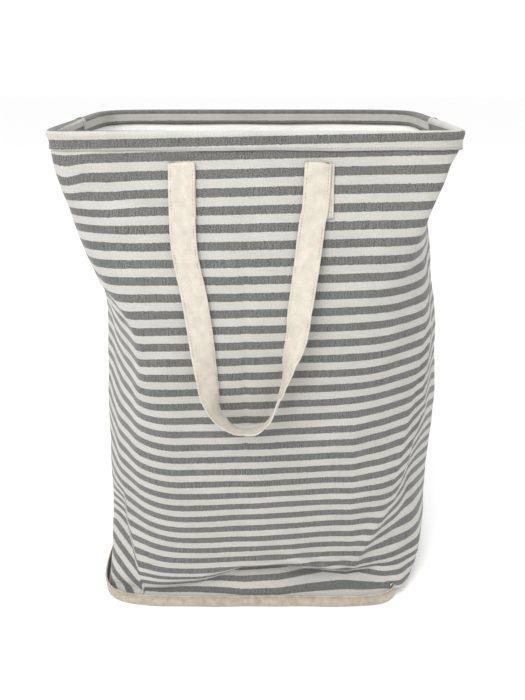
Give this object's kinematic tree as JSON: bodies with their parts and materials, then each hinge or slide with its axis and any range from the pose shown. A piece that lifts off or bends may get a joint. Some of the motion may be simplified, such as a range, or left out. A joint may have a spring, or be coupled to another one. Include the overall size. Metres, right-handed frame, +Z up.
{
  "type": "collapsible laundry hamper",
  "caption": "Free-standing open-top striped canvas laundry hamper with a wired rim, white lining, stiff base insert and two hanging strap handles; the walls fold down flat.",
  "frame": {"origin": "on the flat bottom that the hamper stands on, below the middle of the rim", "axes": "+Z up, -Y towards the front handle, +X to the right seen from the front"},
  "size_m": [0.4477, 0.3977, 0.6],
  "materials": {
    "striped_canvas": "plain-weave cotton-linen canvas, 9 mm grey and 9 mm ivory stripes",
    "cream_canvas": "undyed cream cotton canvas, stitched",
    "white_liner": "white lining cloth with a thin waterproof coating",
    "spring_steel": "plain spring steel wire and a crimped sleeve, inside the hem",
    "grey_board": "stiff board insert"
  },
  "bodies": {
    "base": {"bottom_panel": "cream_canvas", "bottom_binding": "cream_canvas", "base_board": "grey_board", "front_panel": "striped_canvas", "back_panel": "striped_canvas", "left_side_seam": "striped_canvas", "right_side_seam": "striped_canvas", "liner_front": "white_liner", "liner_back": "white_liner", "liner_floor": "white_liner"},
    "rim": {"rim_wire": "spring_steel", "wire_ferrule": "spring_steel", "front_hem": "striped_canvas", "back_hem": "striped_canvas", "front_tab_left": "cream_canvas", "front_tab_right": "cream_canvas", "back_tab_left": "cream_canvas", "back_tab_right": "cream_canvas"},
    "front_handle": {"front_handle_strap": "cream_canvas"},
    "back_handle": {"back_handle_strap": "cream_canvas"}
  },
  "joints": [
    {"name": "rim_collapse", "type": "slide", "parent": "base", "child": "rim", "axis": [0, 0, 1], "range_m": [-0.5, 0], "deforming": ["front_panel", "back_panel", "left_side_seam", "right_side_seam", "liner_front", "liner_back"]},
    {"name": "front_handle_swing", "type": "hinge", "parent": "rim", "child": "front_handle", "pos_m": [-0.005, -0.15459, 0.568], "axis": [-1, 0, 0], "range_deg": [0, 165]},
    {"name": "back_handle_swing", "type": "hinge", "parent": "rim", "child": "back_handle", "pos_m": [0.005, 0.15363, 0.568], "axis": [1, 0, 0], "range_deg": [0, 165]}
  ]
}
